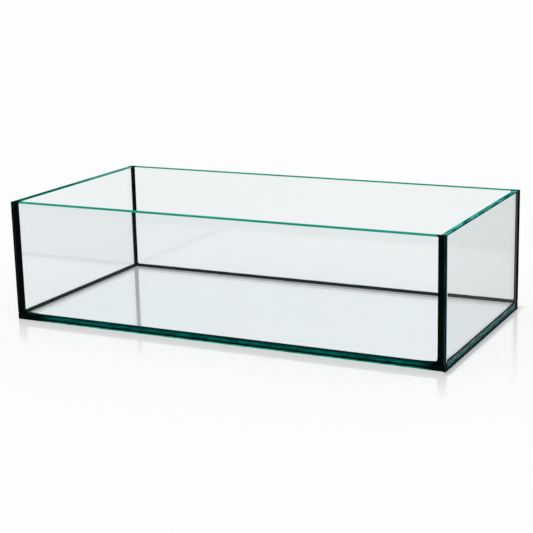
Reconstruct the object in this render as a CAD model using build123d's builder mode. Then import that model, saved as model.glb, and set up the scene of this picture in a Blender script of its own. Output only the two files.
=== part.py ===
from build123d import *
import os

# Rimless glass aquarium: five polished float-glass panes, glued edge to face
# with black silicone. The front and back panes run the full length, the side
# panes stand between them, and all four walls stand on the base pane.
# Origin: centre of the footprint, on the surface that the tank stands on.
# +X runs along the length, +Y towards the back and +Z up. Millimetres.

# Driving dimensions
length = 600.0  # outside, left to right
depth = 300.0  # outside, front to back
height = 160.0  # outside, underside to rim
wall_glass = 8.0  # thickness of the four wall panes
base_glass = 8.0  # thickness of the base pane
arris = 0.8  # small bevel ground on every edge of a pane
bond = 0.5  # silicone between a pane's edge and the face it is glued to
upright_cover = 1.5  # how far an upright inner seal reaches onto the glass past the bond
base_cover = 2.5  # how far an inner seal along the base reaches onto the glass past the bond
seal_hollow = 0.3  # how far a tooled seal dips below a straight slope

# Sizes that follow
inner_length = length - 2 * wall_glass
inner_depth = depth - 2 * wall_glass
side_pane_length = inner_depth - 2 * bond
wall_bottom = base_glass + bond
wall_height = height - wall_bottom
upright_leg = bond + upright_cover
base_leg = bond + base_cover
joint_top = height - arris

# Where the bottom front left inside corner lies
corner_x = -inner_length / 2
corner_y = -inner_depth / 2


def upright_pane(x_size, y_size, x, y):
    """A wall pane standing on its base bond, with ground arrises."""
    with BuildPart() as pane:
        with BuildSketch(Plane.XY.offset(wall_bottom)):
            with Locations((x, y)):
                Rectangle(x_size, y_size)
        extrude(amount=wall_height)
        chamfer(pane.edges(), arris)
    return pane


def seal_section(corner, leg):
    """The section of an inner seal: two legs on the glass and a hollow tooled face."""
    with BuildSketch(corner) as section:
        with BuildLine():
            Polyline((0, leg), (0, 0), (leg, 0))
            SagittaArc((leg, 0), (0, leg), seal_hollow)
        make_face()
    return section.sketch


def mitred_seal(corner, run, mitre):
    """A seal along a wall's foot, cut to a mitre at one end and mirrored to the other."""
    with BuildPart() as seal:
        extrude(seal_section(corner, base_leg), amount=run / 2)
        split(bisect_by=mitre, keep=Keep.TOP)
        mirror(about=Plane(corner.origin, z_dir=corner.z_dir))
    return seal


def mirrored(piece, plane):
    """The same piece on the other side of the tank."""
    with BuildPart() as copy:
        mirror(piece.part, about=plane)
    return copy


# Glass: the base pane, then the four walls
with BuildPart() as base_pane:
    with BuildSketch(Plane.XY):
        Rectangle(length, depth)
    extrude(amount=base_glass)
    chamfer(base_pane.edges(), arris)

front_pane = upright_pane(length, wall_glass, 0, corner_y - wall_glass / 2)
back_pane = mirrored(front_pane, Plane.XZ)
left_pane = upright_pane(wall_glass, side_pane_length, corner_x - wall_glass / 2, 0)
right_pane = mirrored(left_pane, Plane.YZ)

# Upright bonds: between a side pane's end and the pane that runs past it
with BuildPart() as front_left_bond:
    with BuildSketch(Plane.XY.offset(wall_bottom)):
        with Locations((corner_x, corner_y)):
            Rectangle(wall_glass - arris, bond, align=(Align.MAX, Align.MIN))
    extrude(amount=joint_top - wall_bottom)

front_right_bond = mirrored(front_left_bond, Plane.YZ)
back_left_bond = mirrored(front_left_bond, Plane.XZ)
back_right_bond = mirrored(front_right_bond, Plane.XZ)

# Base bonds: between the foot of each wall and the base pane
with BuildPart() as front_base_bond:
    with BuildSketch(Plane.XY.offset(base_glass)):
        with Locations((0, corner_y)):
            Rectangle(length - 2 * arris, wall_glass - arris, align=(Align.CENTER, Align.MAX))
    extrude(amount=bond)

with BuildPart() as left_base_bond:
    with BuildSketch(Plane.XY.offset(base_glass)):
        with Locations((corner_x, 0)):
            Rectangle(wall_glass - arris, inner_depth, align=(Align.MAX, Align.CENTER))
    extrude(amount=bond)

back_base_bond = mirrored(front_base_bond, Plane.XZ)
right_base_bond = mirrored(left_base_bond, Plane.YZ)

# Base seals: tooled beads along the inside foot of each wall, mitred together
front_foot = Plane((0, corner_y, base_glass), x_dir=(0, 1, 0), z_dir=(1, 0, 0))
left_foot = Plane((corner_x, 0, base_glass), x_dir=(1, 0, 0), z_dir=(0, -1, 0))
right_mitre = Plane((-corner_x, corner_y, base_glass), z_dir=(-1, -1, 0))
left_mitre = Plane((corner_x, corner_y, base_glass), z_dir=(-1, 1, 0))

front_base_seal = mitred_seal(front_foot, inner_length, right_mitre)
left_base_seal = mitred_seal(left_foot, inner_depth, left_mitre)
back_base_seal = mirrored(front_base_seal, Plane.XZ)
right_base_seal = mirrored(left_base_seal, Plane.YZ)

# Upright seals: tooled beads up the inside corners, resting on the base seals
front_left_corner = Plane((corner_x, corner_y, base_glass))

with BuildPart() as front_left_seal:
    extrude(seal_section(front_left_corner, upright_leg), amount=joint_top - base_glass)
    add(front_base_seal.part, mode=Mode.SUBTRACT)
    add(left_base_seal.part, mode=Mode.SUBTRACT)

front_right_seal = mirrored(front_left_seal, Plane.YZ)
back_left_seal = mirrored(front_left_seal, Plane.XZ)
back_right_seal = mirrored(front_right_seal, Plane.XZ)

# One file for each piece
pieces = {
    "base_pane": base_pane,
    "front_pane": front_pane,
    "back_pane": back_pane,
    "left_pane": left_pane,
    "right_pane": right_pane,
    "front_left_bond": front_left_bond,
    "front_right_bond": front_right_bond,
    "back_left_bond": back_left_bond,
    "back_right_bond": back_right_bond,
    "front_base_bond": front_base_bond,
    "back_base_bond": back_base_bond,
    "left_base_bond": left_base_bond,
    "right_base_bond": right_base_bond,
    "front_left_seal": front_left_seal,
    "front_right_seal": front_right_seal,
    "back_left_seal": back_left_seal,
    "back_right_seal": back_right_seal,
    "front_base_seal": front_base_seal,
    "back_base_seal": back_base_seal,
    "left_base_seal": left_base_seal,
    "right_base_seal": right_base_seal,
}

os.makedirs("parts", exist_ok=True)
for name, piece in pieces.items():
    piece.part.label = name
    export_step(piece.part, f"parts/{name}.step")
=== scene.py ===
import math
from functools import cache

import bpy
from bpy.props import FloatProperty, FloatVectorProperty, IntProperty, PointerProperty
from mathutils import Matrix, Vector


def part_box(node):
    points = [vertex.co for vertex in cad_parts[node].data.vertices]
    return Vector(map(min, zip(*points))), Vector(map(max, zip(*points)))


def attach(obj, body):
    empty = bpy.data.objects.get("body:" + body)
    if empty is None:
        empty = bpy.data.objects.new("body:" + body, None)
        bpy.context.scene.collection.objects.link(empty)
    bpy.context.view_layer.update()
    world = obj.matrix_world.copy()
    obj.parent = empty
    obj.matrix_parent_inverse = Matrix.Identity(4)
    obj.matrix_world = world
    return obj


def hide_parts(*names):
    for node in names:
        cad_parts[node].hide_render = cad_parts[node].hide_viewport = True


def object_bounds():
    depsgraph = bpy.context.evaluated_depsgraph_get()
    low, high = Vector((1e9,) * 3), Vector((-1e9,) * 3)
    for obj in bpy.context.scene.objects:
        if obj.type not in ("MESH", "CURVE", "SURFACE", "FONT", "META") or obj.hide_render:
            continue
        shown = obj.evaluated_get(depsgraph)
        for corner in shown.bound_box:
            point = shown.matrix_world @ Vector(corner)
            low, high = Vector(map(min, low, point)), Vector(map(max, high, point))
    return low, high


bl_info = {
    "name": "Rimless Glass Tank",
    "version": (1, 0, 0),
    "blender": (4, 5, 0),
    "location": "View3D > Sidebar > Glass Tank",
    "description": "Dresses a low rimless aquarium in clear float glass and black silicone",
    "category": "Add Mesh",
}

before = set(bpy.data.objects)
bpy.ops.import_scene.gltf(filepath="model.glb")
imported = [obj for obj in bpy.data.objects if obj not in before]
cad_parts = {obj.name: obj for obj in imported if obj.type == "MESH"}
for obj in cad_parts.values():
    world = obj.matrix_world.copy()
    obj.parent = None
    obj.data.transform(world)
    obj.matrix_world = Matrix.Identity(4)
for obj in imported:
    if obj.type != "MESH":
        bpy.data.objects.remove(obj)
cad_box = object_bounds()

WALLS = ("front_pane", "back_pane", "left_pane", "right_pane")
UPRIGHTS = ("front_left", "front_right", "back_left", "back_right")
FEET = ("front_base", "back_base", "left_base", "right_base")


# Node helpers


def add(tree, kind, values=None, **options):
    """Add a node, set its options, then fill its inputs with numbers or links."""
    node = tree.nodes.new(kind)
    for option, setting in options.items():
        setattr(node, option, setting)
    for socket, value in (values or {}).items():
        if isinstance(value, bpy.types.NodeSocket):
            tree.links.new(value, node.inputs[socket])
        else:
            node.inputs[socket].default_value = value
    return node


def maths(tree, operation, *terms, clamp=False):
    """The result of one Math node."""
    values = dict(enumerate(terms))
    return add(tree, "ShaderNodeMath", values, operation=operation, use_clamp=clamp).outputs[0]


def vectors(tree, operation, *terms):
    """The result of one Vector Math node: a vector or, for a length, a number."""
    node = add(tree, "ShaderNodeVectorMath", dict(enumerate(terms)), operation=operation)
    return node.outputs[1] if operation == "LENGTH" else node.outputs[0]


def scaled(tree, vector, factor):
    """A vector times a number."""
    values = {"Vector": vector, "Scale": factor}
    return add(tree, "ShaderNodeVectorMath", values, operation="SCALE").outputs[0]


def parts_of(tree, vector):
    """The x, y and z of a vector."""
    return add(tree, "ShaderNodeSeparateXYZ", {0: vector}).outputs


def joined(tree, x, y, z):
    """A vector from its x, y and z."""
    return add(tree, "ShaderNodeCombineXYZ", {0: x, 1: y, 2: z}).outputs[0]


def noise(tree, vector, scale=1.0, detail=2.0, roughness=0.5):
    """Soft noise around 0.5."""
    values = {"Vector": vector, "Scale": scale, "Detail": detail, "Roughness": roughness}
    return add(tree, "ShaderNodeTexNoise", values).outputs[0]


def ranged(tree, value, low, high, to_low=0.0, to_high=1.0, smooth=False):
    """A value carried from one range to another, held at its ends."""
    values = {0: value, 1: low, 2: high, 3: to_low, 4: to_high}
    kind = "SMOOTHSTEP" if smooth else "LINEAR"
    return add(tree, "ShaderNodeMapRange", values, interpolation_type=kind).outputs[0]


def fading(tree, distance, length):
    """One where a distance is nought, fading away over a length."""
    ratio = maths(tree, "DIVIDE", distance, length)
    return maths(tree, "EXPONENT", maths(tree, "MULTIPLY", ratio, -1.0))


def between(tree, value, low, high):
    """One where a value lies between two others, and nought elsewhere."""
    above = maths(tree, "GREATER_THAN", value, low)
    return maths(tree, "MULTIPLY", above, maths(tree, "LESS_THAN", value, high))


def mixed(tree, factor, first, second):
    """A colour between two others."""
    values = {0: factor, 6: first, 7: second}
    return add(tree, "ShaderNodeMix", values, data_type="RGBA", clamp_factor=True).outputs[2]


def ramp(tree, value, stops):
    """A colour by place along a list of stops."""
    node = add(tree, "ShaderNodeValToRGB", {0: value})
    marks = node.color_ramp.elements
    marks[0].position = stops[0][0]
    marks[1].position = stops[-1][0]
    marks[0].color = (*stops[0][1], 1)
    marks[1].color = (*stops[-1][1], 1)
    for place, colour in stops[1:-1]:
        marks.new(place).color = (*colour, 1)
    return node.outputs[0]


def new_tree(name, kind, inputs, outputs):
    """An empty node tree with sockets, their names given by their kind."""
    tree = bpy.data.node_groups.new(name, kind)
    for in_out, sockets in (("INPUT", inputs), ("OUTPUT", outputs)):
        for what, labels in sockets.items():
            for label in labels:
                tree.interface.new_socket(label, in_out=in_out, socket_type="NodeSocket" + what)
    return tree, add(tree, "NodeGroupInput").outputs, add(tree, "NodeGroupOutput").inputs


def painted(tree, group, **values):
    """A shader group placed in a material with its own values."""
    node = add(tree, "ShaderNodeGroup", node_tree=group)
    for label, value in values.items():
        socket = node.inputs[label.replace("_", " ")]
        if isinstance(value, bpy.types.NodeSocket):
            tree.links.new(value, socket)
        else:
            socket.default_value = value
    return node.outputs


def new_material(name):
    """An empty node material, its output and its object coordinates."""
    material = bpy.data.materials.new(name)
    material.use_nodes = True
    tree = material.node_tree
    tree.nodes.clear()
    output = add(tree, "ShaderNodeOutputMaterial")
    place = add(tree, "ShaderNodeTexCoord").outputs["Object"]
    return material, tree, output.inputs, place


def bumped(tree, height, distance, strength):
    """A normal from a height."""
    values = {"Height": height, "Distance": distance, "Strength": strength}
    return add(tree, "ShaderNodeBump", values).outputs[0]


# Shader groups. A function marked with cache makes its result once, for all the pieces that use it.


@cache
def edge_group():
    """The teal of a polished glass edge, with a painted glow: long patches of painted light and shade,
    and fine grinding streaks.
    """
    inputs = {
        "Vector": ("Place", "Stretch"),
        "Color": ("Deep", "Light"),
        "Float": ("Balance", "Contrast"),
    }
    outputs = {"Color": ("Color",), "Float": ("Roughness", "Height")}
    tree, given, result = new_tree("Polished edge", "ShaderNodeTree", inputs, outputs)
    place = vectors(tree, "MULTIPLY", given["Place"], given["Stretch"])
    patches = noise(tree, place, detail=3.0, roughness=0.6)
    streaks = noise(tree, place, scale=4.3, roughness=0.7)
    swing = maths(tree, "SUBTRACT", patches, 0.5)
    grain = maths(tree, "SUBTRACT", streaks, 0.5)
    both = maths(tree, "MULTIPLY_ADD", grain, 0.5, swing)  # the streaks count half
    mask = maths(tree, "MULTIPLY_ADD", both, given["Contrast"], given["Balance"], clamp=True)
    tree.links.new(mixed(tree, mask, given["Deep"], given["Light"]), result["Color"])
    tree.links.new(ranged(tree, streaks, 0.3, 0.7, to_low=0.18, to_high=0.42), result["Roughness"])
    tree.links.new(streaks, result["Height"])
    return tree


@cache
def film_group():
    """The faint uneven film on a wiped surface: slow clouds with fine specks over them."""
    inputs = {"Vector": ("Place",), "Float": ("Size", "Speck size", "Specks")}
    outputs = {"Float": ("Clouds", "Film")}
    tree, given, result = new_tree("Wiped film", "ShaderNodeTree", inputs, outputs)
    broad = scaled(tree, given["Place"], maths(tree, "DIVIDE", 1.0, given["Size"]))
    fine = scaled(tree, given["Place"], maths(tree, "DIVIDE", 1.0, given["Speck size"]))
    clouds = noise(tree, broad, detail=3.0)
    specks = ranged(tree, noise(tree, fine, roughness=0.6), 0.55, 0.75)
    weighed = maths(tree, "MULTIPLY", specks, given["Specks"])
    tree.links.new(clouds, result["Clouds"])
    tree.links.new(maths(tree, "ADD", clouds, weighed, clamp=True), result["Film"])
    return tree


# Materials

# The film on wiped glass: the size of its clouds and specks, and the roughness where it is thickest
FILM_CLOUDS, FILM_SPECKS, HAZE = 0.16, 0.004, 0.02

# Silicone: the size of its paler clouds and of its drag marks, and how many times as pale it gets
PALE_CLOUDS, DRAG_MARKS, PALENESS = 0.012, 0.0007, 1.7


@cache
def clear_glass():
    """Clear float glass: faintly tinted through its faces, teal along its length."""
    look = bpy.context.scene.tank_glass
    material, tree, output, place = new_material("Clear float glass")
    film = film_group()
    wiped = painted(tree, film, Place=place, Size=FILM_CLOUDS, Speck_size=FILM_SPECKS, Specks=0.2)
    tint = mixed(tree, wiped["Clouds"], (*look.tint_low, 1), (*look.tint_high, 1))
    surface = {
        "Base Color": tint,
        "Roughness": ranged(tree, wiped["Film"], 0.4, 1.0, to_high=HAZE),
        "IOR": look.ior,
        "Transmission Weight": 1.0,
    }
    glass = add(tree, "ShaderNodeBsdfPrincipled", surface)
    body = {"Color": (*look.body_colour, 1), "Density": look.body_density}
    inside = add(tree, "ShaderNodeVolumeAbsorption", body)
    tree.links.new(glass.outputs[0], output["Surface"])
    tree.links.new(inside.outputs[0], output["Volume"])
    return material


def polished_edge(name, across, lines, stretch, patches, slant=0.0, covered=None, shine=0.0, waver=0.0):
    """A polished edge, with its light and shade painted into its colour: lines across its width, another
    colour towards its ends, and patches over both.

    across: the axis of the width, and where it starts and ends.
    lines: the colours across the width, each with its place from 0 to 1.
    stretch: how many patches there are to a metre along X, Y and Z.
    patches: what the darkest and the lightest patches do to the colours, and the contrast between them.
    slant: how far the patches lean up along X.
    covered: an axis, a middle, the distances from it at which another colour starts and is full, and it.
    shine: how much light the edge gives back.
    waver: how far the lines stray, as a share of the width.
    """
    material, tree, output, place = new_material(name)
    axes = parts_of(tree, place)
    leaning = joined(tree, axes[0], axes[1], maths(tree, "MULTIPLY_ADD", axes[0], -slant, axes[2]))
    darkest, lightest, contrast = patches
    values = {"Deep": (*darkest, 1), "Light": (*lightest, 1), "Balance": 0.5, "Contrast": contrast}
    glow = painted(tree, edge_group(), Place=leaning, Stretch=stretch, **values)
    axis, start, end = across
    depth = maths(tree, "DIVIDE", maths(tree, "SUBTRACT", axes[axis], start), end - start)
    swing = maths(tree, "SUBTRACT", glow["Height"], 0.5)
    band = ramp(tree, maths(tree, "MULTIPLY_ADD", swing, waver, depth), lines)
    if covered:
        axis, middle, start, end, over = covered
        reach = maths(tree, "ABSOLUTE", maths(tree, "SUBTRACT", axes[axis], middle))
        band = mixed(tree, ranged(tree, reach, start, end, smooth=True), band, (*over, 1))
    factors = {0: 1.0, 6: band, 7: glow["Color"]}
    colour = add(tree, "ShaderNodeMix", factors, data_type="RGBA", blend_type="MULTIPLY").outputs[2]
    surface = {
        "Base Color": colour,
        "Roughness": glow["Roughness"],
        "Specular IOR Level": shine,
        "Normal": bumped(tree, glow["Height"], distance=0.0001, strength=0.3),
    }
    shader = add(tree, "ShaderNodeBsdfPrincipled", surface)
    tree.links.new(shader.outputs[0], output["Surface"])
    return material


@cache
def silicone(name):
    """One of the black silicones, slightly cloudy, with fine drag marks."""
    setting, shine, smoothest, roughest = SILICONES[name]
    colour = getattr(bpy.context.scene.tank_silicone, setting)
    material, tree, output, place = new_material(name)
    film = film_group()
    wiped = painted(tree, film, Place=place, Size=PALE_CLOUDS, Speck_size=DRAG_MARKS, Specks=0.4)
    pale = tuple(PALENESS * part for part in colour)
    surface = {
        "Base Color": mixed(tree, wiped["Clouds"], (*colour, 1), (*pale, 1)),
        "Roughness": ranged(tree, wiped["Film"], 0.3, 0.9, to_low=smoothest, to_high=roughest),
        "Specular IOR Level": shine,
        "Normal": bumped(tree, wiped["Film"], distance=0.0002, strength=0.4),
    }
    shader = add(tree, "ShaderNodeBsdfPrincipled", surface)
    tree.links.new(shader.outputs[0], output["Surface"])
    return material


# Geometry

MERGED = 1e-6  # points closer than this, in metres, become one

# What tells a pane's edges by the way they face: how far up its long edges look, from and to, how far
# down its foot looks, and how little up or down and how far along X its ends look, from and to
FACES = ("Lowest tilt", "Highest tilt", "Foot tilt", "End tilt", "End from", "End to")


def clad(tree, geometry, given, choices):
    """Geometry with each of its materials set on the faces chosen for it, one after the other."""
    for label, chosen in choices.items():
        values = {"Geometry": geometry, "Selection": chosen, "Material": given[label]}
        geometry = add(tree, "GeometryNodeSetMaterial", values).outputs[0]
    return geometry


def choice(tree, test, first, second):
    """One vector where a test holds, and another where it doesn't."""
    values = {"Switch": test, "True": first, "False": second}
    return add(tree, "GeometryNodeSwitch", values, input_type="VECTOR").outputs[0]


@cache
def pane_tree():
    """A pane of glass with a bevel ground on every edge: the hull of three crossed boxes."""
    inputs = {
        "Vector": ("Low corner", "High corner"),
        "Float": ("Arris", "Rim rise", *FACES),
        "Material": ("Clear glass", "Long edge", "Foot edge", "End edge"),
    }
    tree, given, result = new_tree("Ground pane", "GeometryNodeTree", inputs, {"Geometry": ("Pane",)})
    size = vectors(tree, "SUBTRACT", given["High corner"], given["Low corner"])
    middle = scaled(tree, vectors(tree, "ADD", given["High corner"], given["Low corner"]), 0.5)
    both_sides = maths(tree, "MULTIPLY", given["Arris"], 2.0)
    rise = joined(tree, 0.0, 0.0, given["Rim rise"])
    join = add(tree, "GeometryNodeJoinGeometry")
    for narrowed in ((0, 1, 1), (1, 0, 1), (1, 1, 0)):
        lowered = scaled(tree, rise, float(narrowed[2]))
        bevelled = vectors(tree, "SUBTRACT", size, scaled(tree, narrowed, both_sides))
        cube = add(tree, "GeometryNodeMeshCube", {"Size": vectors(tree, "SUBTRACT", bevelled, lowered)})
        dropped = {"Geometry": cube.outputs[0], "Translation": scaled(tree, lowered, -0.5)}
        tree.links.new(add(tree, "GeometryNodeTransform", dropped).outputs[0], join.inputs[0])
    hull = add(tree, "GeometryNodeConvexHull", {0: join.outputs[0]})
    moved = add(tree, "GeometryNodeTransform", {"Geometry": hull.outputs[0], "Translation": middle})
    x, _, tilt = parts_of(tree, add(tree, "GeometryNodeInputNormal").outputs[0])
    edge = between(tree, tilt, given["Lowest tilt"], given["Highest tilt"])
    foot = maths(tree, "LESS_THAN", tilt, given["Foot tilt"])
    level = maths(tree, "LESS_THAN", maths(tree, "ABSOLUTE", tilt), given["End tilt"])
    sideways = between(tree, maths(tree, "ABSOLUTE", x), given["End from"], given["End to"])
    end = maths(tree, "MULTIPLY", level, sideways)
    whole = add(tree, "GeometryNodeRealizeInstances", {0: moved.outputs[0]}).outputs[0]
    choices = {"Clear glass": True, "Long edge": edge, "Foot edge": foot, "End edge": end}
    tree.links.new(clad(tree, whole, given, choices), result[0])
    return tree


@cache
def bead_tree():
    """A run of silicone: one hollow tooled face swept along X, and flat faces against the glass."""
    changes = ("Foot swell", "Foot length", "Thinning", "Thinning length", "Waver", "Waver length")
    inputs = {
        "Float": ("Run", "Hollow", "Mitre", "Seed", *changes),
        "Vector": ("Face start", "Face end", "Back end", "Back start", "Place"),
        "Int": ("Face points", "Stations"),
        "Rotation": ("Turn",),
        "Material": ("Against glass", "Tooled face"),
    }
    tree, given, result = new_tree("Silicone bead", "GeometryNodeTree", inputs, {"Geometry": ("Bead",)})

    # The section: points along the tooled face, then the two back corners
    line = add(tree, "GeometryNodeMeshLine", {"Count": maths(tree, "ADD", given["Face points"], 2.0)})
    index = add(tree, "GeometryNodeInputIndex").outputs[0]
    on_face = maths(tree, "LESS_THAN", index, given["Face points"])
    along = maths(tree, "DIVIDE", index, maths(tree, "SUBTRACT", given["Face points"], 1.0))
    step = vectors(tree, "SUBTRACT", given["Face end"], given["Face start"])
    straight = vectors(tree, "ADD", given["Face start"], scaled(tree, step, along))
    backs = vectors(tree, "ADD", given["Back start"], given["Back end"])
    fronts = vectors(tree, "ADD", given["Face start"], given["Face end"])
    inward = vectors(tree, "NORMALIZE", vectors(tree, "SUBTRACT", backs, fronts))
    arch = maths(tree, "SINE", maths(tree, "MULTIPLY", along, math.pi))
    dip = scaled(tree, inward, maths(tree, "MULTIPLY", arch, given["Hollow"]))
    hollow = vectors(tree, "ADD", straight, dip)
    first_back = maths(tree, "GREATER_THAN", maths(tree, "ADD", given["Face points"], 0.5), index)
    back = choice(tree, first_back, given["Back end"], given["Back start"])
    _, across, up = parts_of(tree, choice(tree, on_face, hollow, back))
    flat = joined(tree, maths(tree, "MULTIPLY", across, -1.0), maths(tree, "MULTIPLY", up, -1.0), 0.0)
    section = add(tree, "GeometryNodeSetPosition", {"Geometry": line.outputs[0], "Position": flat})
    marked = add(tree, "GeometryNodeCaptureAttribute", {0: section.outputs[0]})
    marked.capture_items.new("FLOAT", "Tooled")
    tree.links.new(on_face, marked.inputs[1])
    curve = add(tree, "GeometryNodeMeshToCurve", {0: marked.outputs[0]})
    closed = add(tree, "GeometryNodeSetSplineCyclic", {"Geometry": curve.outputs[0], "Cyclic": True})

    # The run, swept with the section
    half = maths(tree, "MULTIPLY", given["Run"], 0.5)
    ends = {"Start": joined(tree, maths(tree, "MULTIPLY", half, -1.0), 0.0, 0.0)}
    ends["End"] = joined(tree, half, 0.0, 0.0)
    path = add(tree, "GeometryNodeCurvePrimitiveLine", ends)
    steps = {"Curve": path.outputs[0], "Count": given["Stations"]}
    spaced = add(tree, "GeometryNodeResampleCurve", steps)
    swept = {"Curve": spaced.outputs[0], "Profile Curve": closed.outputs[0], "Fill Caps": True}
    tube = add(tree, "GeometryNodeCurveToMesh", swept)

    # A hand-run bead wavers in width, swells where it meets the base, and is cut to its mitres
    position = add(tree, "GeometryNodeInputPosition").outputs[0]
    x, y, _ = parts_of(tree, position)
    reading = joined(tree, maths(tree, "DIVIDE", x, given["Waver length"]), given["Seed"], 0.0)
    swing = maths(tree, "SUBTRACT", noise(tree, reading), 0.5)
    wide = maths(tree, "MULTIPLY", maths(tree, "MULTIPLY", swing, given["Waver"]), marked.outputs[1])
    near_foot = fading(tree, maths(tree, "ADD", x, half), given["Foot length"])
    swell = maths(tree, "MULTIPLY", near_foot, given["Foot swell"])
    to_end = maths(tree, "SUBTRACT", half, maths(tree, "ABSOLUTE", x))
    near_end = fading(tree, to_end, given["Thinning length"])
    thinned = maths(tree, "MULTIPLY", maths(tree, "SUBTRACT", near_end, 1.0), given["Thinning"])
    grown = maths(tree, "ADD", maths(tree, "ADD", wide, swell), maths(tree, "ADD", thinned, 1.0))
    shorter = maths(tree, "SUBTRACT", half, maths(tree, "MULTIPLY", y, given["Mitre"]))
    cut = maths(tree, "DIVIDE", shorter, half)
    shaped = vectors(tree, "MULTIPLY", position, joined(tree, cut, grown, grown))
    run = add(tree, "GeometryNodeSetPosition", {"Geometry": tube.outputs[0], "Position": shaped})
    merged = add(tree, "GeometryNodeMergeByDistance", {"Geometry": run.outputs[0], "Distance": MERGED})
    placed = {"Geometry": merged.outputs[0], "Translation": given["Place"], "Rotation": given["Turn"]}
    moved = add(tree, "GeometryNodeTransform", placed)

    # Only faces with every corner on the tooled face are tooled
    tooled = maths(tree, "GREATER_THAN", marked.outputs[1], 0.99)
    faceted = {"Geometry": moved.outputs[0], "Shade Smooth": False}
    rounded = {"Geometry": add(tree, "GeometryNodeSetShadeSmooth", faceted).outputs[0]}
    smooth = add(tree, "GeometryNodeSetShadeSmooth", {**rounded, "Selection": tooled})
    whole = add(tree, "GeometryNodeRealizeInstances", {0: smooth.outputs[0]}).outputs[0]
    tree.links.new(clad(tree, whole, given, {"Against glass": True, "Tooled face": tooled}), result[0])
    return tree


def dress(name, node, tree, values):
    """Run a tree once, keep its result as a plain mesh, and let that stand for a CAD node."""
    piece = bpy.data.objects.new(name, bpy.data.meshes.new(name))
    bpy.context.scene.collection.objects.link(piece)
    modifier = piece.modifiers.new(tree.name, "NODES")
    modifier.node_group = tree
    for item in tree.interface.items_tree:
        if item.in_out == "INPUT":
            modifier[item.identifier] = values[item.name]
    finished = piece.evaluated_get(bpy.context.evaluated_depsgraph_get())
    piece.data = bpy.data.meshes.new_from_object(finished)
    piece.modifiers.remove(modifier)
    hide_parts(node)
    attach(piece, "root")


# Settings


class GlassSettings(bpy.types.PropertyGroup):
    """Sizes and colours of the glass."""

    arris: FloatProperty(
        name="Arris",
        description="Width of the small bevel ground on every edge of a pane",
        default=0.0008,
        unit="LENGTH",
        precision=4,
    )
    ior: FloatProperty(name="Refraction", description="Refractive index of float glass", default=1.52)
    tint_low: FloatVectorProperty(
        name="Tint",
        description="What a face lets through where it is darkest",
        default=(0.983, 0.987, 0.992),
        subtype="COLOR",
    )
    tint_high: FloatVectorProperty(
        name="Clear tint",
        description="What a face lets through where it is clearest",
        default=(1.0, 1.0, 1.0),
        subtype="COLOR",
    )
    body_colour: FloatVectorProperty(
        name="Body colour",
        description="Colour that the glass turns along its length",
        default=(0.02, 0.7, 0.85),
        subtype="COLOR",
    )
    body_density: FloatProperty(
        name="Body density",
        description="How fast the glass turns that colour, for each metre",
        default=3.6,
    )
    # Ground bevels are pale like ground glass, and paler still with a painted highlight where they catch
    # the light
    ground_colour: FloatVectorProperty(
        name="Ground edge",
        description="Colour of the bevels between a side pane and the panes beside it",
        default=(0.6, 0.78, 0.75),
        subtype="COLOR",
    )
    cover_from: FloatProperty(
        name="Covered from",
        description="Distance from the middle at which the front and back rims lie over black silicone",
        default=0.2874,
        unit="LENGTH",
        precision=4,
    )
    cover_colour: FloatVectorProperty(
        name="Covered colour",
        description="Colour of the rims over black silicone",
        default=(0.003, 0.008, 0.009),
        subtype="COLOR",
    )


class SiliconeSettings(bpy.types.PropertyGroup):
    """Sizes and colours of the silicone."""

    against_colour: FloatVectorProperty(
        name="Against glass",
        description="Colour of the silicone seen through the glass that it holds",
        default=(0.0006, 0.0032, 0.003),
        subtype="COLOR",
    )
    face_colour: FloatVectorProperty(
        name="Tooled face",
        description="Colour of the silicone's own surface",
        default=(0.002, 0.0045, 0.0045),
        subtype="COLOR",
    )
    # The seals along the base are a lighter teal copy of the tooled silicone: painted teal light from
    # the glass
    foot_colour: FloatVectorProperty(
        name="Tooled face at the base",
        description="Colour of the seals along the base, which pick up teal from the glass",
        default=(0.008, 0.022, 0.021),
        subtype="COLOR",
    )
    wetting: FloatProperty(
        name="Wetting",
        description="How far the silicone reaches into the glass, so that no air shows between them",
        default=0.00007,
        unit="LENGTH",
        precision=5,
    )
    seal_hollow: FloatProperty(
        name="Seal hollow",
        description="How far a tooled seal dips below a straight slope",
        default=0.0003,
        unit="LENGTH",
        precision=4,
    )
    joint_hollow: FloatProperty(
        name="Joint hollow",
        description="How far the silicone sinks between two panes at the outside",
        default=0.0003,
        unit="LENGTH",
        precision=4,
    )
    waver: FloatProperty(
        name="Waver",
        description="How much a seal's width changes along its run, as a share of it",
        default=0.16,
        subtype="FACTOR",
    )
    waver_length: FloatProperty(
        name="Waver length",
        description="Length of one change in a seal's width",
        default=0.02,
        unit="LENGTH",
    )
    foot_swell: FloatProperty(
        name="Foot swell",
        description="How much an upright seal widens where it meets the base, as a share of its width",
        default=0.6,
        subtype="FACTOR",
    )
    foot_length: FloatProperty(
        name="Foot length",
        description="Height over which an upright seal widens towards its foot",
        default=0.0015,
        unit="LENGTH",
        precision=4,
    )
    thinning_length: FloatProperty(
        name="Thinning length",
        description="Distance from its ends over which a seal along the base thins",
        default=0.02,
        unit="LENGTH",
    )
    face_points: IntProperty(
        name="Face points",
        description="Points across a tooled face",
        default=9,
        min=3,
    )
    station_gap: FloatProperty(
        name="Station gap",
        description="Distance between two sections of a bead",
        default=0.004,
        unit="LENGTH",
    )


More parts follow.
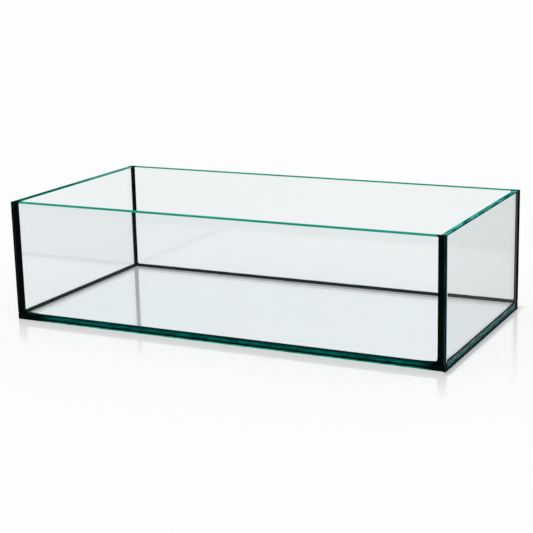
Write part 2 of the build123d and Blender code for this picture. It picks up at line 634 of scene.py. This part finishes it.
class StageSettings(bpy.types.PropertyGroup):
    """The floor, the light and the camera."""

    white: FloatProperty(
        name="White",
        description="Brightness of the background and of the floor away from the tank",
        default=0.99,
        subtype="FACTOR",
    )
    floor_colour: FloatProperty(
        name="Floor",
        description="How much light the floor gives back",
        default=0.25,
        subtype="FACTOR",
    )
    # Under the base pane the floor gives back less light and its glow makes up the rest, lifting the
    # tank's shade there: painted light
    under_colour: FloatProperty(
        name="Floor under the tank",
        description="The same under the base pane, where the floor is lit evenly",
        default=0.1,
        subtype="FACTOR",
    )
    floor_mirror: FloatProperty(
        name="Floor mirror",
        description="How much the floor mirrors the tank right beside it",
        default=0.3,
        subtype="FACTOR",
    )
    under_mirror: FloatProperty(
        name="Mirror under the tank",
        description="How much the floor mirrors the tank under the base pane",
        default=0.25,
        subtype="FACTOR",
    )
    # The next five settings shape a painted reflection: rays that glass mirrors onto the floor find a
    # glow at these levels in place of the lit floor
    front_dimness: FloatProperty(
        name="Front",
        description="Brightness of the floor in front of the tank, where glass mirrors it",
        default=0.04,
        subtype="FACTOR",
    )
    side_dimness: FloatProperty(
        name="Sides and back",
        description="Brightness of the floor beside and behind the tank, where glass mirrors it",
        default=0.5,
        subtype="FACTOR",
    )
    strip_dimness: FloatProperty(
        name="Strips",
        description="The same of the strips of floor that the right pane mirrors over silicone",
        default=0.1,
        subtype="FACTOR",
    )
    dim_reach: FloatProperty(
        name="Dim floor",
        description="Distance from the tank over which glass mirrors a dim floor",
        default=0.9,
        unit="LENGTH",
    )
    dim_end: FloatProperty(
        name="White floor",
        description="Distance from the tank from which glass mirrors a white floor",
        default=2.6,
        unit="LENGTH",
    )
    # The next four settings paint shade on the floor: a painted shade beside the tank's right side, and
    # a painted dark contact line where they meet
    painted_side_shade: FloatProperty(
        name="Side shade",
        description="How much darker the floor is right beside the tank on its shaded side",
        default=0.3,
        subtype="FACTOR",
    )
    shade_reach: FloatProperty(
        name="Shade reach",
        description="Distance from the tank at which that shade ends",
        default=0.014,
        unit="LENGTH",
        precision=4,
    )
    contact_reach: FloatProperty(
        name="Contact reach",
        description="How far the dark line on the floor reaches out from the tank's shaded side",
        default=0.002,
        unit="LENGTH",
        precision=4,
    )
    contact_inset: FloatProperty(
        name="Contact inset",
        description="How far that line reaches in under the tank",
        default=0.002,
        unit="LENGTH",
        precision=4,
    )
    mirror_reach: FloatProperty(
        name="Mirror reach",
        description="Distance from the tank at which the floor stops mirroring it",
        default=0.1,
        unit="LENGTH",
    )
    lens: FloatProperty(
        name="Lens",
        description="Focal length, on a sensor 36 mm wide",
        default=91.64,
        unit="CAMERA",
    )
    camera_place: FloatVectorProperty(
        name="Camera",
        description="Where the camera stands",
        default=(0.7863, -1.5681, 0.4957),
        subtype="TRANSLATION",
    )
    yaw: FloatProperty(
        name="Yaw",
        description="How far the camera looks to the left of straight back",
        default=math.radians(26.65),
        subtype="ANGLE",
    )
    pitch: FloatProperty(
        name="Pitch",
        description="How far the camera looks down",
        default=math.radians(13.82),
        subtype="ANGLE",
    )
    roll: FloatProperty(
        name="Roll",
        description="How far the camera leans",
        default=math.radians(-1.38),
        subtype="ANGLE",
    )


# Operators


class TANK_OT_base_pane(bpy.types.Operator):
    """Make the base pane with its polished outer edges"""

    bl_idname = "tank.base_pane"
    bl_label = "Base Pane"

    def execute(self, context):
        low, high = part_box("base_pane")
        upward = (2, low.z, high.z)
        front = polished_edge("Base edge along", upward, **BASE_FRONT)
        side = polished_edge("Base edge at the sides", upward, **BASE_SIDE)
        pane(context, "base_pane", 0.0, (front, front, side), BASE_FACES)
        return {"FINISHED"}


class TANK_OT_walls(bpy.types.Operator):
    """Make the four wall panes with their polished rims"""

    bl_idname = "tank.walls"
    bl_label = "Wall Panes"

    def execute(self, context):
        look = context.scene.tank_glass
        for node in WALLS:
            low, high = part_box(node)
            axis = 1 if node in ("front_pane", "back_pane") else 0
            outer, inner = sorted((low[axis], high[axis]), key=abs, reverse=True)
            width = (axis, outer, inner)
            label = node.split("_")[0].capitalize()
            lines, patches, rise = RIMS[node]
            cover = None
            end = ground_edge()
            if axis:
                full = look.cover_from + COVER_BLEND
                cover = (0, COVER_MIDDLE, look.cover_from, full, look.cover_colour)
                end = polished_edge(label + " end", width, END_LINES[node], END_GRAIN, EDGE_PATCHES)
            elif node == "left_pane":
                cover = (1, low.y, *LEFT_RIM_FAR)
            grain = RIM_GRAIN[axis]
            rim = polished_edge(
                label + " rim", width, lines, grain, patches, covered=cover, waver=RIM_WAVER
            )
            foot = polished_edge(
                label + " foot", width, FEET_LINES[axis], grain, EDGE_PATCHES, covered=FOOT_CORNERS[axis]
            )
            pane(context, node, rise, (rim, foot, end), WALL_FACES[axis])
        return {"FINISHED"}


class TANK_OT_bonds(bpy.types.Operator):
    """Make the thin layers of silicone that hold the panes together"""

    bl_idname = "tank.bonds"
    bl_label = "Bonds"

    def execute(self, context):
        look = context.scene.tank_silicone
        for spot in UPRIGHTS + FEET:
            node = spot + "_bond"
            low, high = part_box(node)
            size = high - low
            middle = (low + high) / 2
            thin, wide, _ = sorted(range(3), key=lambda axis: size[axis])
            inward = Vector((0, 0, 0))
            inward[wide] = -math.copysign(1, middle[wide])
            upward = Vector((0, 0, 0))
            upward[thin] = 1
            place = middle - inward * size[wide] / 2
            bottom = -size[thin] / 2 - look.wetting
            top = size[thin] / 2 + (look.wetting if spot in UPRIGHTS else -look.wetting / 2)
            values = {
                "Run": max(size),
                "Face start": (0, 0, top),
                "Face end": (0, 0, bottom),
                "Back end": (0, size[wide], bottom),
                "Back start": (0, size[wide], top),
                "Hollow": look.joint_hollow,
                **dict.fromkeys(("Mitre", "Foot swell", "Thinning", "Waver", "Seed"), 0.0),
            }
            bead(look, node, values, place, inward, upward)
        return {"FINISHED"}


class TANK_OT_seals(bpy.types.Operator):
    """Make the tooled beads of silicone along the inside corners"""

    bl_idname = "tank.seals"
    bl_label = "Inner Seals"

    def execute(self, context):
        look = context.scene.tank_silicone
        for number, spot in enumerate(UPRIGHTS + FEET):
            node = spot + "_seal"
            low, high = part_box(node)
            size = high - low
            middle = (low + high) / 2
            upright = spot in UPRIGHTS
            outward = Vector([math.copysign(1, part) for part in middle])
            place = middle.copy()
            if upright:
                first, second = Vector((-outward.x, 0, 0)), Vector((0, -outward.y, 0))
                if first.cross(second).z < 0:
                    first, second = second, first
                place.x += outward.x * size.x / 2
                place.y += outward.y * size.y / 2
                leg = size.x
            else:
                axis = 0 if size.y > size.x else 1
                first, second = Vector((0, 0, 0)), Vector((0, 0, 1))
                first[axis] = -outward[axis]
                place[axis] += outward[axis] * size[axis] / 2
                place.z = low.z
                leg = size[axis]
            wide, tall = GROWTH.get(spot, (1.0, 1.0))
            values = {
                "Run": max(size),
                "Face start": (0, leg * wide, -look.wetting),
                "Face end": (0, -look.wetting, leg * tall),
                "Back end": (0, -look.wetting, -look.wetting),
                "Back start": (0, -look.wetting, -look.wetting),
                "Hollow": look.seal_hollow,
                "Mitre": 0.0 if upright else 1.0,
                "Foot swell": look.foot_swell if upright else 0.0,
                "Thinning": THINNING.get(spot, 0.0),
                "Waver": look.waver,
                "Seed": FIRST_SEED + SEED_STEP * number,
            }
            bead(look, node, values, place, first, second)
        return {"FINISHED"}


class TANK_OT_stage(bpy.types.Operator):
    """Make the pale floor, the soft light and the camera"""

    bl_idname = "tank.stage"
    bl_label = "Stage"

    def execute(self, context):
        look = context.scene.tank_stage
        scene = context.scene
        scene.view_settings.view_transform = "Standard"
        stage_floor(look)
        stage_world(look)
        stage_camera(look)
        return {"FINISHED"}


class TANK_PT_panel(bpy.types.Panel):
    """Lists what makes the tank, and its settings"""

    bl_label = "Glass Tank"
    bl_idname = "TANK_PT_panel"
    bl_space_type = "VIEW_3D"
    bl_region_type = "UI"
    bl_category = "Glass Tank"

    def draw(self, context):
        layout = self.layout
        for operator in OPERATORS:
            layout.operator(operator.bl_idname)
        for label in SETTINGS:
            box = layout.box()
            settings = getattr(context.scene, label)
            for name in settings.__annotations__:
                box.prop(settings, name)


# What the operators share

# How many patches there are to a metre along X, Y and Z: on the rims of the side panes and of the front
# and back panes, and on the upright ends of these
RIM_GRAIN = ((110, 34, 220), (14, 220, 220))
END_GRAIN = (220, 220, 30)

# How far the lines of a rim stray, as a share of its width
RIM_WAVER = 0.08

# How far past its start the colour over silicone is full, and the middle that its start is measured from
COVER_BLEND, COVER_MIDDLE = 0.0012, 0.00125

# What the darkest and the lightest patches of painted light and shade do to an edge's colours, and the
# contrast between them
EDGE_PATCHES = ((0.3, 0.35, 0.35), (1.8, 1.65, 1.65), 3.0)
RIM_PATCHES = ((0.6, 0.8, 0.8), (3.0, 1.25, 1.25), 1.8)
RIGHT_RIM_PATCHES = ((0.02, 0.42, 0.4), (4.0, 1.5, 1.55), 4.5)

# The base pane's edge from the underside up, along its front and back: a bright teal line, a painted
# highlight where the lower bevel catches light from the floor, then a black band and dim teal. Towards
# the corners it turns near-black, partly the black silicone there and partly painted shade.
NEAR_BLACK = (0.0008, 0.004, 0.004)
BASE_FRONT = {
    "lines": (
        (0.0, (0.003, 0.27, 0.18)),
        (0.21, (0.006, 0.31, 0.21)),
        (0.24, (0.0005, 0.03, 0.02)),
        (0.27, (0.0006, 0.003, 0.003)),
        (0.51, (0.0008, 0.004, 0.0045)),
        (0.56, (0.0007, 0.06, 0.05)),
        (0.65, (0.001, 0.09, 0.077)),
        (0.88, (0.0008, 0.085, 0.073)),
        (1.0, (0.0005, 0.06, 0.05)),
    ),
    "stretch": (90, 90, 500),
    "patches": EDGE_PATCHES,
    "slant": 0.1,
    "covered": (0, 0.01, 0.246, 0.278, NEAR_BLACK),
    "waver": 0.12,
}

# The same at its sides: a painted contact shade at the bottom, then grey teal that grows lighter
# upwards, a painted sheen, and near-black towards its ends, below the corners
BASE_SIDE = {
    "lines": (
        (0.0, (0.0, 0.006, 0.006)),
        (0.17, (0.0, 0.02, 0.02)),
        (0.24, (0.0, 0.085, 0.086)),
        (0.38, (0.03, 0.105, 0.107)),
        (0.55, (0.055, 0.12, 0.125)),
        (0.75, (0.06, 0.13, 0.137)),
        (0.95, (0.075, 0.155, 0.16)),
        (1.0, (0.06, 0.13, 0.135)),
    ),
    "stretch": (90, 60, 500),
    "patches": EDGE_PATCHES,
    "covered": (1, 0.0, 0.1375, 0.1395, (0.003, 0.006, 0.007)),
    "shine": 0.02,
    "waver": 0.12,
}

# Which way the edges of the base pane, the side panes, and the front and back panes face, as FACES lists
# it. Silicone covers the ends of a side pane up to their bevels.
BASE_FACES = (-0.8, 0.8, -2.0, 0.8, 0.6, 1.1)
WALL_FACES = ((0.3, 1.1, -0.3, 0.3, 0.6, 0.8), (0.3, 1.1, -0.3, 0.3, 0.6, 1.1))

# The rims from the outer face in, what their patches do to them, and how much taller their bevels are.
# The rims are lit differently by side in painted light: the left one dim with a darker middle, the right
# one bright with a painted dark line along its outer bevel.
TEAL = (0.004, 0.30, 0.20)
RIMS = {
    "front_pane": (((0.0, TEAL), (1.0, TEAL)), RIM_PATCHES, 0.0005),
    "back_pane": (((0.0, TEAL), (1.0, TEAL)), RIM_PATCHES, 0.0),
    "left_pane": (
        (
            (0.0, (0.0, 0.22, 0.155)),
            (0.15, (0.0, 0.22, 0.155)),
            (0.3, (0.0, 0.09, 0.06)),
            (0.46, (0.0, 0.035, 0.026)),
            (0.54, (0.0, 0.035, 0.026)),
            (0.7, (0.0, 0.09, 0.06)),
            (0.88, (0.0, 0.20, 0.14)),
            (1.0, (0.0, 0.22, 0.155)),
        ),
        RIM_PATCHES,
        0.0005,
    ),
    "right_pane": (
        (
            (0.0, (0.0, 0.03, 0.027)),
            (0.10, (0.0, 0.03, 0.027)),
            (0.14, (0.015, 0.33, 0.275)),
            (0.9, (0.015, 0.33, 0.275)),
            (1.0, (0.01, 0.20, 0.17)),
        ),
        RIGHT_RIM_PATCHES,
        0.0001,
    ),
}

# How far from its front end the left rim starts and ends turning lighter, in painted light, and the
# colour that it turns
LEFT_RIM_FAR = (0.11, 0.2, (0.022, 0.30, 0.24))

# The foot of a wall from the outer face in, and where it lies over silicone: the side panes, then the
# front and back panes
FEET_LINES = (
    ((0.0, (0.001, 0.012, 0.012)), (1.0, (0.001, 0.008, 0.008))),
    ((0.0, (0.0, 0.06, 0.052)), (1.0, (0.0, 0.055, 0.047))),
)
FOOT_CORNERS = (None, (0, 0.0, 0.283, 0.290, NEAR_BLACK))

# The upright ends of the front and back panes from the outer face in
END_LINES = {
    "front_pane": (
        (0.0, (0.011, 0.025, 0.028)),
        (0.1, (0.011, 0.025, 0.028)),
        (0.13, (0.0, 0.018, 0.016)),
        (0.85, (0.0, 0.018, 0.016)),
        (0.9, (0.003, 0.06, 0.052)),
        (1.0, (0.003, 0.06, 0.052)),
    ),
    "back_pane": (
        (0.0, (0.002, 0.02, 0.018)),
        (0.1, (0.001, 0.008, 0.007)),
        (0.2, (0.0005, 0.003, 0.003)),
        (1.0, (0.0005, 0.003, 0.003)),
    ),
}

# How much of its width a seal along the base loses between its ends, as a share
THINNING = {"front_base": 0.75, "right_base": 0.62}

# Seals laid wider than the rest: how many times as wide across, and as high, as the CAD's
GROWTH = {"left_base": (1.0, 1.45), "back_base": (1.0, 1.3), "back_left": (1.6, 1.6)}

# Where each seal's waver starts
FIRST_SEED, SEED_STEP = 10.0, 3.7

# The silicones, each with the setting of its colour, how much light it gives back, and its roughness
# where it is smoothest and roughest. The one at the base is the lighter teal copy, painted light from
# the glass.
SILICONES = {
    "Silicone against glass": ("against_colour", 0.0, 0.5, 0.7),
    "Tooled silicone": ("face_colour", 0.06, 0.32, 0.52),
    "Tooled silicone at the base": ("foot_colour", 0.06, 0.32, 0.52),
}

# The floor: from its middle to its sides, how far it lies below the tank, and what the painted dark
# contact line beside the tank leaves of its colour
FLOOR_HALF, FLOOR_GAP, CONTACT = 6.0, 0.0001, 0.2

# How far in front of the tank the painted reflection of the floor that glass mirrors has turned dim
FRONT_BLEND = 0.03

# Strips of the floor at the right, painted dark in the reflection that the right pane shows over
# silicone, so that the silicone stays black. The first leads back from the back corner, CORNER_RUN
# metres for each metre outwards, the second leads outwards behind the tank, and the third lies along the
# tank's side.
CORNER_STRIP, CORNER_RUN = (-0.0225, 0.012), 3.5
SEAL_STRIP, SEAL_STRIP_REACH = (0.016, 0.035), 0.12
FOOT_STRIP = 0.0125

SENSOR = 36.0  # the width of the camera's sensor, in millimetres


@cache
def ground_edge():
    """The bevels between a side pane and the panes beside it: pale like ground glass, with a painted
    highlight.
    """
    colour = bpy.context.scene.tank_glass.ground_colour
    lines = ((0.0, colour), (1.0, colour))
    patches = ((0.8, 0.85, 0.85), (1.2, 1.15, 1.15), 1.5)
    return polished_edge("Ground edge", (2, 0.0, 1.0), lines, stretch=(220, 220, 60), patches=patches)


def pane(context, node, rise, edges, faces):
    """Dress a CAD node in a pane with a long edge, a foot edge and an end edge."""
    low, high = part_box(node)
    values = {
        "Low corner": low,
        "High corner": high,
        "Arris": context.scene.tank_glass.arris,
        "Rim rise": rise,
        "Clear glass": clear_glass(),
        **dict(zip(FACES, faces)),
        **dict(zip(("Long edge", "Foot edge", "End edge"), edges)),
    }
    dress("glass_" + node, node, pane_tree(), values)


def bead(look, node, values, place, across, up):
    """Dress a CAD node in a run of silicone, from its own values and the shared ones."""
    run_way = across.cross(up)
    turn = Matrix((run_way, across, up)).transposed().to_euler()
    # Seals along the base take the lighter teal copy, painted light from the glass
    tooled = "Tooled silicone at the base" if node.endswith("base_seal") else "Tooled silicone"
    more = {
        "Foot length": look.foot_length,
        "Thinning length": look.thinning_length,
        "Waver length": look.waver_length,
        "Face points": look.face_points,
        "Stations": max(2, round(values["Run"] / look.station_gap)),
        "Place": place,
        "Turn": turn,
        "Against glass": silicone("Silicone against glass"),
        "Tooled face": silicone(tooled),
    }
    dress("silicone_" + node, node, bead_tree(), {**values, **more})


def beyond(tree, place, half):
    """How far a place lies beyond a distance from the middle, or nought."""
    over = maths(tree, "SUBTRACT", maths(tree, "ABSOLUTE", place), half)
    return maths(tree, "MAXIMUM", over, 0.0)


def mirrored_floor(tree, look, x, y, over_x, away, at_right):
    """How bright glass mirrors the floor, as a painted reflection: dim in front and over silicone, and
    white further out.
    """
    right, back = cad_box[1].x, cad_box[1].y
    front = cad_box[0].y
    before = ranged(tree, y, front - FRONT_BLEND, front, 1.0, 0.0, smooth=True)
    left_of = ranged(tree, x, right, 2 * right, 1.0, 0.0, smooth=True)
    in_front = maths(tree, "MULTIPLY", before, left_of)
    corner_line = maths(tree, "MULTIPLY_ADD", over_x, CORNER_RUN, back)
    corner = between(tree, maths(tree, "SUBTRACT", y, corner_line), *CORNER_STRIP)
    behind = between(tree, y, back + SEAL_STRIP[0], back + SEAL_STRIP[1])
    seal = maths(tree, "MULTIPLY", behind, maths(tree, "LESS_THAN", over_x, SEAL_STRIP_REACH))
    foot = maths(tree, "LESS_THAN", over_x, FOOT_STRIP)
    any_strip = maths(tree, "MAXIMUM", maths(tree, "MAXIMUM", corner, seal), foot)
    at_strip = maths(tree, "MULTIPLY", at_right, any_strip)
    elsewhere = ranged(tree, at_strip, 0.0, 1.0, look.side_dimness, look.strip_dimness)
    nearby = ranged(tree, in_front, 0.0, 1.0, elsewhere, look.front_dimness)
    return ranged(tree, away, look.dim_reach, look.dim_end, nearby, look.white, smooth=True)


def stage_floor(look):
    """A pale floor that keeps the tank's shadow and mirrors it faintly close by, with painted shade and
    a painted contact line beside its right side, and a painted reflection for mirrored rays.
    """
    mesh = bpy.data.meshes.new("stage_floor")
    half, level = FLOOR_HALF, cad_box[0].z - FLOOR_GAP
    corners = [(-half, -half, level), (half, -half, level), (half, half, level), (-half, half, level)]
    mesh.from_pydata(corners, [], [(0, 1, 2, 3)])
    floor = bpy.data.objects.new("stage_floor", mesh)
    bpy.context.scene.collection.objects.link(floor)
    material, tree, output, place = new_material("Pale floor")
    x, y, _ = parts_of(tree, place)
    right, back = cad_box[1].x, cad_box[1].y
    over_x, over_y = beyond(tree, x, right), beyond(tree, y, back)
    away = vectors(tree, "LENGTH", joined(tree, over_x, over_y, 0.0))
    outside = maths(tree, "GREATER_THAN", away, 0.0)
    # Under the base pane the floor's glow lifts more of the tank's shade: painted light
    colour = ranged(tree, outside, 0.0, 1.0, look.under_colour, look.floor_colour)

    # A painted shade darkens the floor beside the tank's right side, and a painted dark contact line
    # runs where they meet
    fading_shade = ranged(tree, away, 0.0, look.shade_reach, look.painted_side_shade, 0.0, smooth=True)
    at_right = maths(tree, "GREATER_THAN", x, right)
    shade = maths(tree, "MULTIPLY", fading_shade, at_right)
    along_side = maths(tree, "LESS_THAN", maths(tree, "ABSOLUTE", y), back)
    edge = between(tree, x, right - look.contact_inset, right + look.contact_reach)
    painted_contact_line = maths(tree, "MULTIPLY", edge, along_side)
    left_over = ranged(tree, painted_contact_line, 0.0, 1.0, 1.0, CONTACT)
    colour = maths(tree, "MULTIPLY", colour, left_over)
    shade = maths(tree, "ADD", shade, painted_contact_line)

    # Its own light makes it white, less what it gives back of the light on it and less the painted shade
    lift = maths(tree, "SUBTRACT", maths(tree, "SUBTRACT", look.white, colour), shade, clamp=True)
    matte = add(tree, "ShaderNodeBsdfDiffuse", {"Color": colour})
    glow = add(tree, "ShaderNodeEmission", {"Color": (1, 1, 1, 1), "Strength": lift})
    lit = add(tree, "ShaderNodeAddShader", {0: matte.outputs[0], 1: glow.outputs[0]})
    gloss = add(tree, "ShaderNodeBsdfGlossy", {"Color": (1, 1, 1, 1), "Roughness": 0.1})
    falling = ranged(tree, away, 0.0, look.mirror_reach, 1.0, 0.0)
    around = maths(tree, "MULTIPLY", falling, look.floor_mirror)
    share = ranged(tree, outside, 0.0, 1.0, look.under_mirror, around)
    seen = add(tree, "ShaderNodeMixShader", {0: share, 1: lit.outputs[0], 2: gloss.outputs[0]})

    # A ray that some surface has mirrored finds the floor around the tank dimmer: a painted reflection,
    # which glows in place of the lit floor
    dim = mirrored_floor(tree, look, x, y, over_x, away, at_right)
    painted_reflection_glow = add(tree, "ShaderNodeEmission", {"Color": dim, "Strength": 1.0})
    rays = add(tree, "ShaderNodeLightPath").outputs
    bounces = maths(tree, "SUBTRACT", rays["Glossy Depth"], rays["Diffuse Depth"], clamp=True)
    mirrored = maths(tree, "MULTIPLY", bounces, outside)
    both = add(tree, "ShaderNodeMixShader", {0: mirrored, 1: seen.outputs[0], 2: painted_reflection_glow.outputs[0]})
    tree.links.new(both.outputs[0], output["Surface"])
    mesh.materials.append(material)


def stage_world(look):
    """Even white light from all round."""
    world = bpy.data.worlds.new("Soft studio")
    bpy.context.scene.world = world
    world.use_nodes = True
    tree = world.node_tree
    tree.nodes.clear()
    white = (look.white,) * 3 + (1,)
    light = add(tree, "ShaderNodeBackground", {"Color": white, "Strength": 1.0})
    output = add(tree, "ShaderNodeOutputWorld")
    tree.links.new(light.outputs[0], output.inputs["Surface"])


def stage_camera(look):
    """The camera at the photograph's angle."""
    lens = bpy.data.cameras.new("camera")
    lens.lens = look.lens
    lens.sensor_width = SENSOR
    camera = bpy.data.objects.new("camera", lens)
    bpy.context.scene.collection.objects.link(camera)
    bpy.context.scene.camera = camera
    flat = math.cos(look.pitch)
    ahead = Vector((-math.sin(look.yaw) * flat, math.cos(look.yaw) * flat, -math.sin(look.pitch)))
    level = Vector((math.cos(look.yaw), math.sin(look.yaw), 0))
    above = level.cross(ahead)
    right = level * math.cos(look.roll) + above * math.sin(look.roll)
    upward = above * math.cos(look.roll) - level * math.sin(look.roll)
    turn = Matrix((right, upward, -ahead)).transposed()
    camera.matrix_world = Matrix.Translation(look.camera_place) @ turn.to_4x4()


OPERATORS = (TANK_OT_base_pane, TANK_OT_walls, TANK_OT_bonds, TANK_OT_seals, TANK_OT_stage)
SETTINGS = {"tank_glass": GlassSettings, "tank_silicone": SiliconeSettings, "tank_stage": StageSettings}
CLASSES = (*SETTINGS.values(), *OPERATORS, TANK_PT_panel)


def register():
    for one in CLASSES:
        bpy.utils.register_class(one)
    for label, settings in SETTINGS.items():
        setattr(bpy.types.Scene, label, PointerProperty(type=settings))


def unregister():
    for label in SETTINGS:
        delattr(bpy.types.Scene, label)
    for one in reversed(CLASSES):
        bpy.utils.unregister_class(one)


def main():
    """Build the whole scene."""
    register()
    bpy.ops.tank.base_pane()
    bpy.ops.tank.walls()
    bpy.ops.tank.bonds()
    bpy.ops.tank.seals()
    bpy.ops.tank.stage()


if __name__ == "__main__":
    main()
